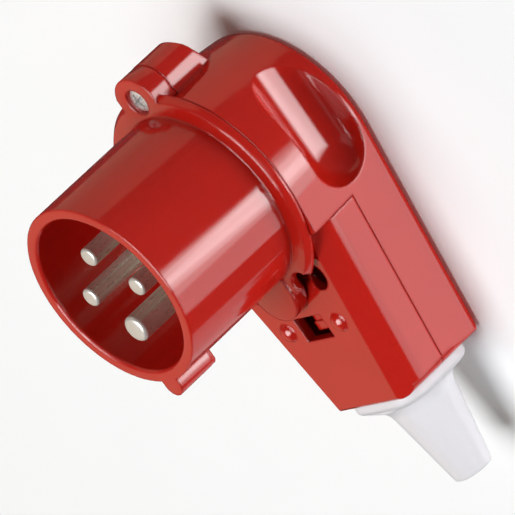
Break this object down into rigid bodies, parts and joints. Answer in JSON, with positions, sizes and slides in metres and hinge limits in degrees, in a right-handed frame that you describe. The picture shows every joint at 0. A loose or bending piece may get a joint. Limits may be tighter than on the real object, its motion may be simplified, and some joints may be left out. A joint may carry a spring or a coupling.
{
  "type": "angled pin and sleeve plug",
  "caption": "Angled industrial pin and sleeve plug: round keyed shroud round contact pins, hand grip body at right angles with thumb grooves, and a tapered cord boot.",
  "frame": {"origin": "where the shroud's axis meets the flat back the plug rests on", "axes": "+Z along the shroud's axis out of its mouth, +X towards the cord end"},
  "size_m": [0.1295, 0.0604, 0.0694],
  "materials": {
    "red_plastic": "gloss",
    "contact_metal": "nickel plated, satin",
    "screw_steel": "zinc plated",
    "black_plastic": "matt",
    "boot_plastic": "satin"
  },
  "bodies": {
    "root": {"shroud_insert": "red_plastic", "pin_l1": "contact_metal", "pin_l2": "contact_metal", "pin_l3": "contact_metal", "pin_earth": "contact_metal", "terminal_screw_l1": "screw_steel", "terminal_screw_l2": "screw_steel", "terminal_screw_l3": "screw_steel", "terminal_screw_earth": "screw_steel", "pin_retainer": "black_plastic", "retainer_screw": "screw_steel", "housing": "red_plastic", "front_cover": "red_plastic", "flange_screw": "screw_steel", "cord_clamp": "black_plastic", "clamp_screw_a": "screw_steel", "clamp_screw_b": "screw_steel", "boot": "boot_plastic"}
  },
  "joints": []
}
